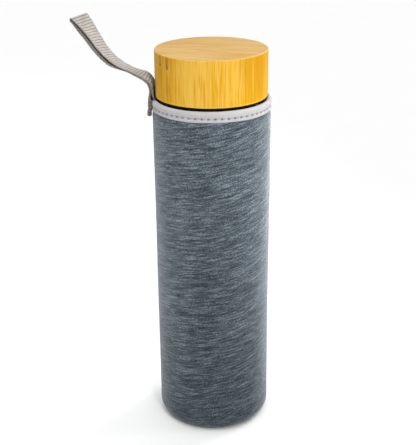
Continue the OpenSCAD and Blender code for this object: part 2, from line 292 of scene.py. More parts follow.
# ------------------------------------------------------------------ materials
class Mat:
    def __init__(self, name, **sockets):
        self.m = bpy.data.materials.new(name)
        self.m.use_nodes = True
        self.t = self.m.node_tree
        self.p = next(n for n in self.t.nodes if n.type == "BSDF_PRINCIPLED")
        for key, val in sockets.items():
            self.p.inputs[key.replace("_", " ")].default_value = val

    def put(self, socket, value):
        if isinstance(value, bpy.types.NodeSocket):
            self.t.links.new(value, socket)
        elif value is not None:
            if hasattr(socket.default_value, "__len__") and not hasattr(value, "__len__"):
                value = (value,) * len(socket.default_value)
            if hasattr(value, "__len__") and len(socket.default_value) == 4 and len(value) == 3:
                value = (*value, 1.0)
            socket.default_value = value

    def node(self, kind, **props):
        n = self.t.nodes.new(kind)
        for key, val in props.items():
            setattr(n, key, val)
        return n

    def attr(self, name):
        return self.node("ShaderNodeAttribute", attribute_name=name).outputs["Fac"]

    def uv(self, name="cloth", turn=0.0):
        """The named map in millimetres, turned clockwise by that many degrees."""
        src = self.node("ShaderNodeUVMap", uv_map=name).outputs[0]
        mp = self.node("ShaderNodeMapping")
        self.put(mp.inputs["Vector"], src)
        mp.inputs["Scale"].default_value = (1000, 1000, 1000)
        mp.inputs["Rotation"].default_value = (0, 0, -math.radians(turn))
        return mp.outputs[0]

    def obj(self, turn=0.0):
        src = self.node("ShaderNodeTexCoord").outputs["Object"]
        mp = self.node("ShaderNodeMapping")
        self.put(mp.inputs["Vector"], src)
        mp.inputs["Scale"].default_value = (1000, 1000, 1000)
        mp.inputs["Rotation"].default_value = (0, 0, -math.radians(turn))
        return mp.outputs[0]

    def vmul(self, v, by):
        n = self.node("ShaderNodeVectorMath", operation="MULTIPLY")
        self.put(n.inputs[0], v)
        n.inputs[1].default_value = by
        return n.outputs[0]

    def vadd(self, v, w):
        n = self.node("ShaderNodeVectorMath", operation="ADD")
        self.put(n.inputs[0], v)
        self.put(n.inputs[1], w)
        return n.outputs[0]

    def split(self, v):
        n = self.node("ShaderNodeSeparateXYZ")
        self.put(n.inputs[0], v)
        return n.outputs[0], n.outputs[1], n.outputs[2]

    def join(self, x, y, z=0.0):
        n = self.node("ShaderNodeCombineXYZ")
        for s, val in zip(n.inputs, (x, y, z)):
            self.put(s, val)
        return n.outputs[0]

    def math(self, op, a, b=None, c=None, clamp=False):
        n = self.node("ShaderNodeMath", operation=op, use_clamp=clamp)
        for s, val in zip(n.inputs, (a, b, c)):
            self.put(s, val)
        return n.outputs[0]

    def remap(self, x, a, b, c=0.0, d=1.0, soft=False):
        n = self.node("ShaderNodeMapRange", interpolation_type="SMOOTHSTEP" if soft else "LINEAR")
        for s, val in zip(n.inputs, (x, a, b, c, d)):
            self.put(s, val)
        return n.outputs[0]

    def noise(self, v, scale=1.0, detail=2.0, rough=0.5, dist=0.0, dims="3D", seed=None):
        if isinstance(scale, tuple):
            v, scale = self.vmul(v, scale), 1.0
        if seed is not None:
            v = self.vadd(v, seed)
        n = self.node("ShaderNodeTexNoise", noise_dimensions=dims)
        self.put(n.inputs["Vector"], v)
        n.inputs["Scale"].default_value = scale
        n.inputs["Detail"].default_value = detail
        n.inputs["Roughness"].default_value = rough
        n.inputs["Distortion"].default_value = dist
        return n.outputs["Fac"]

    def voronoi(self, v, scale=1.0, feature="F1", out="Distance", rand=1.0):
        n = self.node("ShaderNodeTexVoronoi", feature=feature)
        self.put(n.inputs["Vector"], v)
        n.inputs["Scale"].default_value = scale
        n.inputs["Randomness"].default_value = rand
        return n.outputs[out]

    def white(self, x):
        n = self.node("ShaderNodeTexWhiteNoise", noise_dimensions="1D")
        self.put(n.inputs["W"], x)
        return n.outputs["Value"]

    def white2(self, v):
        n = self.node("ShaderNodeTexWhiteNoise", noise_dimensions="2D")
        self.put(n.inputs["Vector"], v)
        return n.outputs["Value"]

    def blend(self, *terms, mean=0.5):
        """Weighted sum of values that each lie about a half."""
        out = mean - 0.5 * sum(k for _, k in terms)
        for val, k in terms:
            out = self.math("MULTIPLY_ADD", val, k, out)
        return out

    def ramp(self, f, stops, interp="LINEAR"):
        n = self.node("ShaderNodeValToRGB")
        n.color_ramp.interpolation = interp
        el = n.color_ramp.elements
        while len(el) < len(stops):
            el.new(0.5)
        for e, (pos, col) in zip(el, stops):
            e.position = pos
            e.color = (*col, 1.0) if hasattr(col, "__len__") else (col, col, col, 1.0)
        self.put(n.inputs[0], f)
        return n.outputs[0]

    def mix(self, f, a, b, blend="MIX"):
        n = self.node("ShaderNodeMix", data_type="RGBA", blend_type=blend)
        self.put(n.inputs["Factor"], f)
        ins = [s for s in n.inputs if s.type == "RGBA"]
        self.put(ins[0], a)
        self.put(ins[1], b)
        return next(s for s in n.outputs if s.type == "RGBA")

    def bump(self, h, strength=0.5, dist=0.0002, normal=None):
        n = self.node("ShaderNodeBump")
        n.inputs["Strength"].default_value = strength
        n.inputs["Distance"].default_value = dist
        self.put(n.inputs["Height"], h)
        if normal is not None:
            self.put(n.inputs["Normal"], normal)
        return n.outputs[0]

    def done(self, color=None, rough=None, normal=None):
        if color is not None:
            self.put(self.p.inputs["Base Color"], color)
        if rough is not None:
            self.put(self.p.inputs["Roughness"], rough)
        if normal is not None:
            self.put(self.p.inputs["Normal"], normal)
        return self.m


def knit_material(name, turn, dark, mid, light):
    """Heathered jersey: each course is a yarn whose tone changes along it, loop by loop."""
    m = Mat(name, Roughness=0.92, Specular_IOR_Level=0.18, Sheen_Weight=0.6, Sheen_Roughness=0.3)
    m.p.inputs["Sheen Tint"].default_value = (0.90, 0.94, 1.0, 1.0)
    v = m.uv(turn=turn)
    wob = m.noise(v, (1 / 26, 1 / 11, 1), 2, 0.5, dims="2D")
    x, y, _ = m.split(v)
    y2 = m.math("ADD", y, m.math("MULTIPLY", m.math("SUBTRACT", wob, 0.5), 1.8))
    w = m.join(x, y2)
    course = m.math("MULTIPLY", y2, 1 / 0.66)
    row = m.math("FLOOR", course)
    wales = m.math("MULTIPLY", x, 1 / 0.62)
    loop_tone = m.noise(m.join(wales, course), 0.9, 1, 0.5, dims="2D", seed=(3.0, 14.0, 0))
    yarn = m.join(m.math("ADD", m.math("MULTIPLY", x, 1 / 7.5), m.math("MULTIPLY", m.white(row), 57.0)), m.math("MULTIPLY", row, 3.7))
    n_yarn = m.noise(yarn, 1.0, 3, 0.6, dims="2D")
    n_long = m.noise(w, (1 / 14, 1 / 1.0, 1), 2, 0.55, dims="2D")
    n_band = m.noise(w, (1 / 40, 1 / 4.6, 1), 2, 0.5, dims="2D", seed=(31.0, 7.0, 0))
    n_fine = m.noise(w, (1 / 0.95, 1 / 0.75, 1), 2, 0.6, dims="2D", seed=(5.0, 19.0, 0))
    tone = m.blend((n_yarn, 1.40), (n_long, 1.0), (n_band, 0.42), (n_fine, 0.9), (loop_tone, 0.95), mean=0.48)
    col = m.ramp(tone, [(0.08, dark), (0.50, mid), (1.0, light)])
    # loops of the knit: slanted legs either side of each wale
    leg = m.math("ABSOLUTE", m.math("SUBTRACT", m.math("FRACT", wales), 0.5))
    lift = m.math("ADD", course, m.math("MULTIPLY", leg, 1.1))
    loop = m.math("SINE", m.math("MULTIPLY", lift, 2 * PI))
    gap = m.remap(leg, 0.0, 0.16, 0.0, 1.0, soft=True)
    relief = m.math("MULTIPLY", m.math("MULTIPLY_ADD", loop, 0.5, 0.5), gap)
    # painted shade in the gaps between loops, painted highlight on the loop tops
    shade = m.remap(relief, 0.0, 1.0, 0.84, 1.10)
    col = m.mix(1.0, col, m.join(shade, shade, shade), "MULTIPLY")
    fuzz = m.noise(v, 2.6, 3, 0.7, dims="2D")
    h = m.math("MULTIPLY_ADD", fuzz, 0.55, m.math("MULTIPLY_ADD", relief, 0.7, m.math("MULTIPLY", n_yarn, 0.8)))
    return m.done(col, None, m.bump(h, 0.5, 0.0002))


def foam_material():
    m = Mat("foam", Roughness=0.9, Specular_IOR_Level=0.2)
    o = m.obj()
    cells = m.voronoi(o, 1.6)
    col = m.ramp(m.noise(o, 0.25, 3), [(0.3, (0.035, 0.036, 0.04)), (0.7, (0.065, 0.066, 0.072))])
    return m.done(col, None, m.bump(cells, 0.4, 0.0003))


def lining_material():
    """Fine dark jersey with vertical wales."""
    m = Mat("lining", Roughness=0.85, Specular_IOR_Level=0.25, Sheen_Weight=0.15, Sheen_Roughness=0.5)
    v = m.uv()
    x, y, _ = m.split(v)
    wale = m.math("ABSOLUTE", m.math("SINE", m.math("MULTIPLY", x, PI / 0.7)))
    rows = m.math("ABSOLUTE", m.math("SINE", m.math("MULTIPLY", m.math("ADD", y, m.math("MULTIPLY", wale, 0.25)), PI / 0.55)))
    h = m.math("MULTIPLY", wale, rows)
    col = m.ramp(m.noise(v, (1 / 2.0, 1 / 8.0, 1), 3, 0.6, dims="2D"), [(0.3, (0.045, 0.05, 0.057)), (0.7, (0.085, 0.092, 0.102))])
    # painted shade in the hollows between wales and rows
    k = m.remap(h, 0, 1, 0.72, 1.08)
    col = m.mix(1.0, col, m.join(k, k, k), "MULTIPLY")
    return m.done(col, None, m.bump(h, 0.5, 0.0002))


def binding_material():
    """Light grey bias tape: fine diagonal weave, small pits, painted shade in the needle holes and along the stitch
    groove.
    """
    m = Mat("binding", Roughness=0.85, Specular_IOR_Level=0.15, Sheen_Weight=0.08, Sheen_Roughness=0.4)
    v = m.uv(turn=45)
    x, y, _ = m.split(v)
    wa = m.math("SINE", m.math("MULTIPLY", x, 2 * PI / 0.34))
    wb = m.math("SINE", m.math("MULTIPLY", y, 2 * PI / 0.34))
    weave = m.math("MULTIPLY", wa, wb)
    grain = m.noise(v, 1.7, 4, 0.65, dims="2D")
    cloud = m.noise(v, 0.16, 2, 0.5, dims="2D")
    col = m.ramp(m.math("MULTIPLY_ADD", cloud, 0.45, m.math("MULTIPLY", grain, 0.55)),
                 [(0.32, (0.290, 0.281, 0.287)), (0.52, (0.318, 0.308, 0.313)), (0.72, (0.346, 0.335, 0.338))])
    # painted shade along the stitch groove
    col = m.mix(m.math("MULTIPLY", m.attr("groove"), 0.35), col, (0.10, 0.10, 0.107))
    # painted shade in the needle holes
    col = m.mix(m.attr("hole"), col, (0.02, 0.022, 0.026))
    h = m.math("MULTIPLY_ADD", weave, 0.25, m.math("MULTIPLY", grain, 0.9))
    return m.done(col, None, m.bump(h, 0.2, 0.0001))


def thread_material(name, a, b):
    m = Mat(name, Roughness=0.6, Specular_IOR_Level=0.35, Sheen_Weight=0.25, Sheen_Roughness=0.35)
    v = m.uv()
    x, y, _ = m.split(v)
    lay = m.math("SINE", m.math("MULTIPLY", m.math("ADD", m.math("MULTIPLY", x, 0.9), y), 2 * PI / 0.16))
    col = m.ramp(m.noise(v, 3.0, 3, 0.6, dims="2D"), [(0.3, a), (0.7, b)])
    return m.done(col, None, m.bump(lay, 0.35, 0.00004))


def webbing_material():
    """Warm grey woven webbing: thick cross ribs from the mesh, fine warp ends over them."""
    m = Mat("webbing", Roughness=0.82, Specular_IOR_Level=0.25, Sheen_Weight=0.25, Sheen_Roughness=0.4)
    v = m.uv()
    x, y, _ = m.split(v)
    rib = m.attr("rib")
    slant = m.math("ADD", x, m.math("MULTIPLY", y, 0.35))
    warp = m.math("SINE", m.math("MULTIPLY", slant, 2 * PI / 0.46))
    warp01 = m.math("MULTIPLY_ADD", warp, 0.5, 0.5)
    fib = m.noise(v, (1 / 0.22, 1 / 1.4, 1), 3, 0.65, dims="2D")
    blot = m.noise(v, 0.22, 2, 0.5, dims="2D")
    tone = m.math("MULTIPLY_ADD", fib, 0.5, m.math("MULTIPLY", blot, 0.5))
    col = m.ramp(tone, [(0.3, (0.25, 0.222, 0.198)), (0.52, (0.32, 0.2905, 0.2645)), (0.74, (0.385, 0.357, 0.329))])
    # painted shade darkening the rib grooves near the strap's root
    groove = m.math("MULTIPLY", m.remap(rib, 0.95, 0.25, 0.0, 0.62, soft=True), m.attr("deep"))
    # painted shade in the grooves between the ribs and painted highlight on their tops
    k = m.math("MULTIPLY", m.remap(rib, 0.0, 0.85, 0.34, 1.05, soft=True), m.remap(warp01, 0, 1, 0.86, 1.04))
    k = m.math("MULTIPLY", k, m.math("SUBTRACT", 1.0, groove))
    col = m.mix(1.0, col, m.join(k, k, k), "MULTIPLY")
    # darkening mark: frayed cut ends in their own darker colour, dirt on the sewn end, and painted shade and painted
    # shadow
    col = m.mix(m.attr("cut"), col, (0.30, 0.27, 0.24), "MULTIPLY")
    h = m.math("MULTIPLY_ADD", warp01, 0.6, m.math("MULTIPLY", fib, 0.6))
    return m.done(col, None, m.bump(h, 0.5, 0.00016))


def bamboo_colours(m, across, along, strip_w, offset, tones, dark, lean, k_glue, k_fine):
    """Laminated strips with fibres along them. across and along are in millimetres, and lean is a slow change of tone:
    the wood's own, with painted shade in it on the cap's side.
    """
    at = m.math("MULTIPLY", m.math("ADD", across, offset), 1 / strip_w)
    strip = m.math("FLOOR", at)
    f = m.math("FRACT", at)
    tone = m.white(m.math("ADD", strip, 0.37))
    sway = m.noise(m.join(across, along), (1 / 8, 1 / 34, 1), 1, 0.5, dims="2D", seed=(2.0, 6.0, 0))
    vec = m.join(m.math("MULTIPLY_ADD", sway, 0.8, across), m.math("MULTIPLY_ADD", tone, 91.0, along))
    broad = m.noise(vec, (1 / 2.4, 1 / 60, 1), 2, 0.5, dims="2D")
    mid = m.noise(vec, (1 / 0.95, 1 / 46, 1), 2, 0.6, dims="2D", seed=(3.0, 8.0, 0))
    fine = m.noise(vec, (1 / 0.42, 1 / 36, 1), 2, 0.65, dims="2D", seed=(11.0, 2.0, 0))
    t = m.blend((lean, 1.0), (tone, 0.15), (f, 0.08), (broad, 0.7), (mid, 1.5 * k_fine), (fine, 1.9 * k_fine))
    col = m.ramp(t, [(0.0, tones[0]), (0.5, tones[1]), (1.0, tones[2])])
    # bundles of fibre: short amber dashes, and straw-coloured ones between them
    amber = m.remap(m.noise(vec, (1 / 1.3, 1 / 24, 1), 2, 0.5, dims="2D", seed=(17.0, 5.0, 0)), 0.46, 0.74, 0.0, 0.8 * k_fine, soft=True)
    straw = m.remap(m.noise(vec, (1 / 1.1, 1 / 32, 1), 2, 0.5, dims="2D", seed=(7.0, 23.0, 0)), 0.46, 0.74, 0.0, 0.7 * k_fine, soft=True)
    straw = m.math("MULTIPLY", straw, m.remap(lean, 0.1, 0.5, 0.1, 1.0))
    col = m.mix(straw, m.mix(amber, col, tones[3]), tones[4])
    vein = m.math("MULTIPLY", m.remap(fine, 0.55, 0.75, 0.0, 1.0), m.remap(mid, 0.55, 0.36, 0.0, 1.0))
    col = m.mix(m.math("MULTIPLY", vein, 0.35), col, dark)
    glue = m.math("MULTIPLY", m.remap(f, 0.0, 0.03, 1.0, 0.0), m.remap(m.white(m.math("ADD", strip, 5.1)), 0.2, 0.9, 0.1 * k_glue, k_glue))
    col = m.mix(glue, col, dark)
    return col, fine, mid


def smear(m, col, across, along, u0, v0, wu, wv, shade, amount):
    """Brown streaks that fade out from one place."""
    du = m.math("MULTIPLY", m.math("SUBTRACT", across, u0), 1 / wu)
    dv = m.math("MULTIPLY", m.math("SUBTRACT", along, v0), 1 / wv)
    d = m.math("SQRT", m.math("ADD", m.math("MULTIPLY", du, du), m.math("MULTIPLY", dv, dv)))
    rag = m.noise(m.join(across, along), (1 / 0.8, 1 / 8.0, 1), 2, 0.6, dims="2D", seed=(u0, v0, 0))
    f = m.math("MULTIPLY", m.remap(d, 1.0, 0.0, 0.0, amount, soft=True), m.remap(rag, 0.34, 0.58))
    return m.mix(f, col, shade)


def knot(m, col, across, along, u0, v0, w, dark, pale, amount=0.8):
    """A node of the bamboo: a cup with a pale outline, brown inside and darkest at its foot."""
    du = m.math("MULTIPLY", m.math("SUBTRACT", across, u0), 1 / w)
    dv = m.math("MULTIPLY", m.math("SUBTRACT", along, v0), 1 / w)
    low = m.math("MINIMUM", dv, 0.0)
    low = m.math("MULTIPLY", low, 0.8)
    rag = m.noise(m.join(across, along), (1 / 0.7, 1 / 3.5, 1), 3, 0.6, dims="2D", seed=(u0, v0, 0))
    d = m.math("SQRT", m.math("ADD", m.math("MULTIPLY", du, du), m.math("MULTIPLY", low, low)))
    d = m.math("MULTIPLY_ADD", m.math("SUBTRACT", rag, 0.5), 0.5, d)
    foot = m.math("SQRT", m.math("ADD", m.math("MULTIPLY", du, du), m.math("MULTIPLY", m.math("MULTIPLY_ADD", dv, 0.7, 0.25), m.math("MULTIPLY_ADD", dv, 0.7, 0.25))))
    fill = m.math("MULTIPLY", m.remap(d, 0.85, 0.45, 0.0, 1.0, soft=True), m.remap(dv, 4.5, 0.0, 0.25, 0.6))
    fill = m.math("MAXIMUM", fill, m.remap(foot, 0.95, 0.2, 0.0, 0.95, soft=True))
    col = m.mix(m.math("MULTIPLY", m.math("MULTIPLY", fill, m.remap(rag, 0.32, 0.56, 0.35, 1.0)), amount), col, dark)
    ring = m.remap(m.math("ABSOLUTE", m.math("SUBTRACT", d, 1.08)), 0.0, 0.26, 1.0, 0.0, soft=True)
    ring = m.math("MULTIPLY", ring, m.remap(dv, 5.0, 3.0, 0.3, 1.0))
    return m.mix(m.math("MULTIPLY", ring, 0.75 * amount), col, pale)


def bamboo_side_material():
    m = Mat("bamboo_side", Roughness=0.65, Specular_IOR_Level=0.04)
    v = m.uv()
    x, _, _ = m.split(v)
    _, _, z = m.split(m.obj())
    dark, pale = (0.25, 0.105, 0.004), (0.50, 0.31, 0.06)
    # slow change of tone round the cap, from amber to straw: partly the wood's own, partly painted shade darkening the
    # strips on the left side
    stops = [(0.0, 0.5), (0.20, 0.45), (0.29, 1.0), (0.335, 0.36), (0.38, 0.36), (0.44, 1.05), (0.47, 1.3), (0.484, 1.2), (0.488, 0.70), (0.534, 0.62),
             (0.538, 0.88), (0.555, 0.75), (0.58, 0.50), (0.61, 0.15), (0.63, -0.1), (0.66, -0.05), (0.69, 0.35), (0.80, 0.6), (1.0, 0.5)]
    lean = m.ramp(m.remap(x, -100.0, 100.0), stops)
    tones = ((0.405, 0.193, 0.002), (0.460, 0.246, 0.012), (0.505, 0.302, 0.046), (0.425, 0.190, 0.001), (0.515, 0.322, 0.065))
    col, fine, mid = bamboo_colours(m, x, z, 9.99, 2.75, tones, dark, lean, 0.42, 1.0)
    for u0, v0, wu, wv, k in ((-26.0, 226.5, 4.0, 7.0, 0.6), (-26.5, 211.0, 5.0, 13.0, 0.5), (-35.0, 217.0, 4.0, 12.0, 0.35), (19.5, 226.0, 5.5, 17.0, 0.42), (30.0, 214.0, 3.0, 16.0, 0.4), (68.0, 214.0, 6.0, 15.0, 0.4), (-82.0, 216.0, 5.0, 14.0, 0.4)):
        col = smear(m, col, x, z, u0, v0, wu, wv, (0.30, 0.135, 0.005), k)
    for u0, v0, w, k in ((-33.9, 224.2, 1.9, 1.0), (-27.0, 223.4, 1.85, 1.0), (63.0, 218.0, 1.9, 0.6), (-84.0, 221.5, 1.7, 0.55)):
        col = knot(m, col, x, z, u0, v0, w, (0.225, 0.09, 0.006), pale, k)
    edge = m.attr("edge")
    col = m.mix(m.math("MULTIPLY", edge, 0.45), col, (0.52, 0.35, 0.09))
    # painted highlight: a brighter, more saturated orange band along the cap's lower edge
    col = m.mix(m.remap(z, 204.3, 203.2, 0.0, 0.7, soft=True), col, (0.57, 0.34, 0.008))
    rough = m.remap(mid, 0.3, 0.7, 0.5, 0.66)
    return m.done(col, rough, m.bump(m.math("MULTIPLY_ADD", fine, 0.7, m.math("MULTIPLY", mid, 0.5)), 0.2, 0.00012))


def bamboo_top_material():
    m = Mat("bamboo_top", Roughness=0.6, Specular_IOR_Level=0.08)
    x, y, _ = m.split(m.obj(turn=-15))
    dark = (0.265, 0.13, 0.02)
    wave = m.noise(m.join(x, y), (1 / 28, 1 / 9, 1), 2, 0.5, dims="2D", seed=(4.0, 1.0, 0))
    y2 = m.math("MULTIPLY_ADD", m.math("SUBTRACT", wave, 0.5), 2.2, y)
    slow = m.noise(m.join(x, y2), (1 / 60, 1 / 11, 1), 1, 0.5, dims="2D", seed=(9.0, 3.0, 0))
    tones = ((0.362, 0.203, 0.057), (0.412, 0.257, 0.084), (0.452, 0.308, 0.124), (0.352, 0.191, 0.051), (0.462, 0.321, 0.139))
    col, fine, mid = bamboo_colours(m, y2, x, 12.6, 5.2, tones, dark, slow, 0.5, 1.1)
    col = smear(m, col, y2, x, 3.2, -4.0, 2.2, 11.0, (0.30, 0.155, 0.03), 0.5)
    col = knot(m, col, y2, m.math("MULTIPLY", x, -1.0), 3.4, 2.0, 0.8, (0.285, 0.145, 0.025), (0.45, 0.33, 0.14), 0.55)
    edge = m.attr("edge")
    col = m.mix(m.math("MULTIPLY", edge, 0.5), col, (0.48, 0.36, 0.15))
    rough = m.remap(mid, 0.3, 0.7, 0.52, 0.68)
    return m.done(col, rough, m.bump(m.math("MULTIPLY_ADD", fine, 0.7, m.math("MULTIPLY", mid, 0.5)), 0.16, 0.0001))


def plastic_material():
    m = Mat("black_plastic", Roughness=0.5, Specular_IOR_Level=0.05)
    o = m.obj()
    col = m.ramp(m.noise(o, 0.35, 2), [(0.3, (0.003, 0.003, 0.0035)), (0.7, (0.006, 0.006, 0.0065))])
    spark = m.noise(o, 4.5, 3, 0.6)
    rough = m.remap(m.noise(o, 0.6, 3), 0.3, 0.7, 0.48, 0.62)
    return m.done(col, rough, m.bump(spark, 0.12, 0.00005))


def silicone_material():
    m = Mat("silicone", Roughness=0.42, Specular_IOR_Level=0.4, Subsurface_Weight=0.25, Subsurface_Scale=0.001)
    o = m.obj()
    col = m.ramp(m.noise(o, 0.4, 3), [(0.3, (0.76, 0.76, 0.73)), (0.7, (0.86, 0.86, 0.84))])
    rough = m.remap(m.noise(o, 1.5, 2), 0.3, 0.7, 0.36, 0.5)
    return m.done(col, rough, m.bump(m.noise(o, 3.0, 3), 0.1, 0.00006))


def glass_material():
    m = Mat("glass", Transmission_Weight=1.0, IOR=1.47, Roughness=0.0)
    o = m.obj()
    m.p.inputs["Base Color"].default_value = (0.925, 0.967, 0.955, 1.0)
    wav = m.noise(m.vmul(o, (1 / 18, 1 / 18, 1 / 30)), 1.0, 2, 0.5)
    return m.done(None, None, m.bump(wav, 0.12, 0.0006))


KNIT = knit_material("knit", 10.0, (0.021, 0.026, 0.033), (0.055, 0.070, 0.084), (0.155, 0.190, 0.212))
FOAM_M, LINING_M, BINDING_M = foam_material(), lining_material(), binding_material()
LIGHT_T = thread_material("light_thread", (0.30, 0.29, 0.295), (0.39, 0.38, 0.385))
DARK_T = thread_material("dark_thread", (0.085, 0.10, 0.12), (0.15, 0.175, 0.20))
WEBBING, SIDE_M, TOP_M = webbing_material(), bamboo_side_material(), bamboo_top_material()
PLASTIC, SILICONE, GLASS = plastic_material(), silicone_material(), glass_material()


# ------------------------------------------------------------------ sleeve
def wall_wave(p, z):
    """Slow unevenness of the padded wall, fading out at the rim and the base."""
    w = 0.085 * np.sin(2 * p + 0.7 + z / 55) + 0.06 * np.sin(3 * p - z / 38 + 1.9) + 0.04 * np.sin(5 * p + z / 24 + 0.4) + 0.028 * np.sin(9 * p - z / 15 + 2.2)
    return w * smooth(z, 3, 18) * (1 - smooth(z, 182, 194))


slub_a, slub_b = lattice((40, 160), 3), lattice((110, 420), 4)


def slubs(p, z):
    """Fine raised streaks of the knit, rising to the right as the courses do."""
    y = z - p * SLEEVE_R * math.tan(math.radians(10))
    turn = p / (2 * PI)
    return 0.030 * slub_a(turn * 40, y / 2.6) + 0.020 * slub_b(turn * 110, y / 1.3)


def seam_d(p):
    return (PI - np.abs(p)) * SLEEVE_R


near = np.array([0.12, 0.26, 0.42, 0.62, 0.9, 1.25, 1.7]) / SLEEVE_R
even = np.linspace(-PI, PI, 420, endpoint=False)
even = even[(np.abs(even) < PI - near[-1]) | (even == -PI)]
wall_phis = np.sort(np.concatenate([even, -PI + near, PI - near]))


def knit_disp(r, z, p):
    d = seam_d(p)
    up = smooth(z, 1, 9)
    dr = wall_wave(p, z) + slubs(p, z) * smooth(z, 2, 8) * (1 - smooth(z, 193, 196))
    dr = dr - 0.20 * bump(z, 195.2, 1.5) + 0.10 * bump(z, 191.4, 1.8)
    dr = dr - 0.44 * bump(d, 0, 0.42) * up + 0.10 * bump(d, 1.25, 0.6) * up * (1 + 0.25 * np.cos(2 * PI * (z - 10) / 3))
    pull = np.cos(p * 60) * bump(z, 0.9, 2.2)
    return r + dr - 0.09 * pull, z, p


seam_a = math.degrees(math.acos((29.62 - 26.9) / CORNER))
knit_prof = chain(
    (29.42, 0.86), (29.43, 0.68), arc(26.9, 6.6, CORNER, -seam_a + 0.4, 0, 22), line((33.5, 7.4), (33.5, 194.2), 214), line((33.5, 195.0), (33.5, 199.4), 6),
    (33.42, 199.6), (33.08, 199.6), (33.0, 199.4), line((33.0, 195), (33.0, 6.6), 26), arc(26.9, 6.6, CORNER - FACE, -2, -seam_a + 0.4, 10),
)
b = Build()
revolve(b, knit_prof, wall_phis, knit_disp, ref_r=SLEEVE_R)
knit = b.make("sleeve_knit_visual", [KNIT], "sleeve", ["sleeve_knit"])

b = Build()
disc = chain((0, 0), line((1.5, 0), (26.9, 0), 18), arc(26.9, 6.6, CORNER, -89, -seam_a - 0.9, 9), (29.36, 0.75), (29.28, 0.95), arc(26.9, 6.6, CORNER - FACE, -seam_a - 1.0, -90, 8), line((26.0, 0.5), (1.5, 0.5), 8), (0, 0.5))
base_phis = np.linspace(-PI, PI, 240, endpoint=False)


def base_disp(r, z, p):
    return r - 0.05 * np.cos(p * 60) * bump(r, 29.3, 0.9), z + 0.06 * bump(r, 29.3, 1.2) * (np.cos(p * 60) + 1) * 0.5, p


revolve(b, disc, base_phis, base_disp, poles=True, planar=True)
base = b.make("base_knit_visual", [KNIT], "sleeve", ["base_knit"])


def pocket_w(p):
    """1 where the strap's inner end lies, 0 away from it."""
    d = np.abs(p - STRAP_PHI) * 32.0
    return 1 - smooth(d, 7.75, 8.9)


def pocket_line(z):
    """Inside radius that the strap's inner end needs at each height."""
    return np.where(z < 192.2, 30.0, np.where(z < 198.5, 32.12, 32.12 + (z - 198.5) / 3.7 * 1.12))


foam_phis = np.linspace(-PI, PI, 192, endpoint=False) + 0.004


def foam_disp(r, z, p):
    out = r > 32.2
    lim = pocket_line(z) + 0.5
    w = pocket_w(p) * smooth(z, 191.6, 192.6)
    r2 = np.where(out, r + wall_wave(p, z) * 0.9, r)
    return np.where(~out & (r2 < lim), r2 + (lim - r2) * w, r2), z, p


foam_prof = chain(
    arc(26.9, 6.6, CORNER - FACE, -seam_a + 0.6, 0, 12), line((33.0, 8), (33.0, 193.0), 60), (32.98, 196), (32.95, 199.4), (32.6, 199.75), (32.3, 199.75), (31.95, 199.4),
    (31.85, 196), (31.8, 195.0), (31.45, 193.2), line((31.4, 191), (31.4, 6.6), 40), arc(26.9, 6.6, CORNER - FACE - FOAM, 0, -seam_a + 0.6, 8),
)
b = Build()
revolve(b, foam_prof, foam_phis, foam_disp)
foam = b.make("sleeve_foam_visual", [FOAM_M], "sleeve", ["sleeve_foam"])

b = Build()
fd = chain((0, 0.52), line((2, 0.52), (26.9, 0.52), 12), arc(26.9, 6.6, 6.08, -88, -seam_a - 1.2, 6), arc(26.9, 6.6, 4.52, -seam_a - 1.2, -90, 6), line((26, 2.08), (2, 2.08), 10), (0, 2.08))
revolve(b, fd, np.linspace(-PI, PI, 96, endpoint=False), poles=True, planar=True)
base_foam = b.make("base_foam_visual", [FOAM_M], "sleeve", ["base_foam"])


def lining_disp(r, z, p):
    w = pocket_w(p) * smooth(z, 191.4, 192.6)
    inner = r < 31.2
    up = smooth(z, 193.4, 195.2)
    lim = pocket_line(z) + np.where(r < 31.2 + 0.45 * up, 0.35 * up, 0.35 + 0.10 * up)
    r2 = np.where(r < lim, r + (lim - r) * w, r)
    d = seam_d(p)
    return r2 + 0.22 * bump(d, 0, 0.5) * inner + 0.02 * np.sin(7 * p + z / 9) * smooth(z, 5, 20) * (1 - smooth(z, 180, 190)), z, p


lin_phis = np.unique(np.concatenate([np.linspace(-PI, PI, 220, endpoint=False), STRAP_PHI + np.linspace(-9.4, 9.4, 48) / 32.0, -PI + near, PI - near]))
lin_prof = chain(
    arc(26.9, 6.6, 4.5, -seam_a + 0.8, 0, 8), line((31.4, 8), (31.4, 191.0), 50), line((31.4, 191.4), (31.4, 193.2), 6), (31.6, 194.2), (31.78, 195.2), (31.8, 199.0), (31.7, 199.25), (31.6, 199.25), (31.52, 199.0),
    (31.5, 195.3), (31.3, 194.4), (31.03, 193.4), line((31.0, 193.2), (31.0, 191.4), 6), line((31.0, 191.0), (31.0, 6.6), 120), arc(26.9, 6.6, 4.1, 0, -seam_a + 0.8, 10),
)
b = Build()
revolve(b, lin_prof, lin_phis, lining_disp, ref_r=IN_R)
lining = b.make("sleeve_lining_visual", [LINING_M], "sleeve", ["sleeve_lining"])

b = Build()
ld = chain((0, 2.1), line((2, 2.1), (26.9, 2.1), 10), arc(26.9, 6.6, 4.5, -88, -seam_a - 1.2, 6), arc(26.9, 6.6, 4.1, -seam_a - 1.2, -90, 8), line((26, 2.5), (2, 2.5), 16), (0, 2.5))
revolve(b, ld, np.linspace(-PI, PI, 144, endpoint=False), poles=True, planar=True)
base_lining = b.make("base_lining_visual", [LINING_M], "sleeve", ["base_lining"])

# ------------------------------------------------------------------ binding
hole_step = 2 * PI / STITCHES


def hole_offset(p):
    """Distance along the rim to the nearest needle hole."""
    az = p - PI / 2
    return (az / hole_step - np.round(az / hole_step)) * hole_step * 34


def strap_off(p):
    return np.abs(np.degrees(np.angle(np.exp(1j * (p - STRAP_PHI)))))


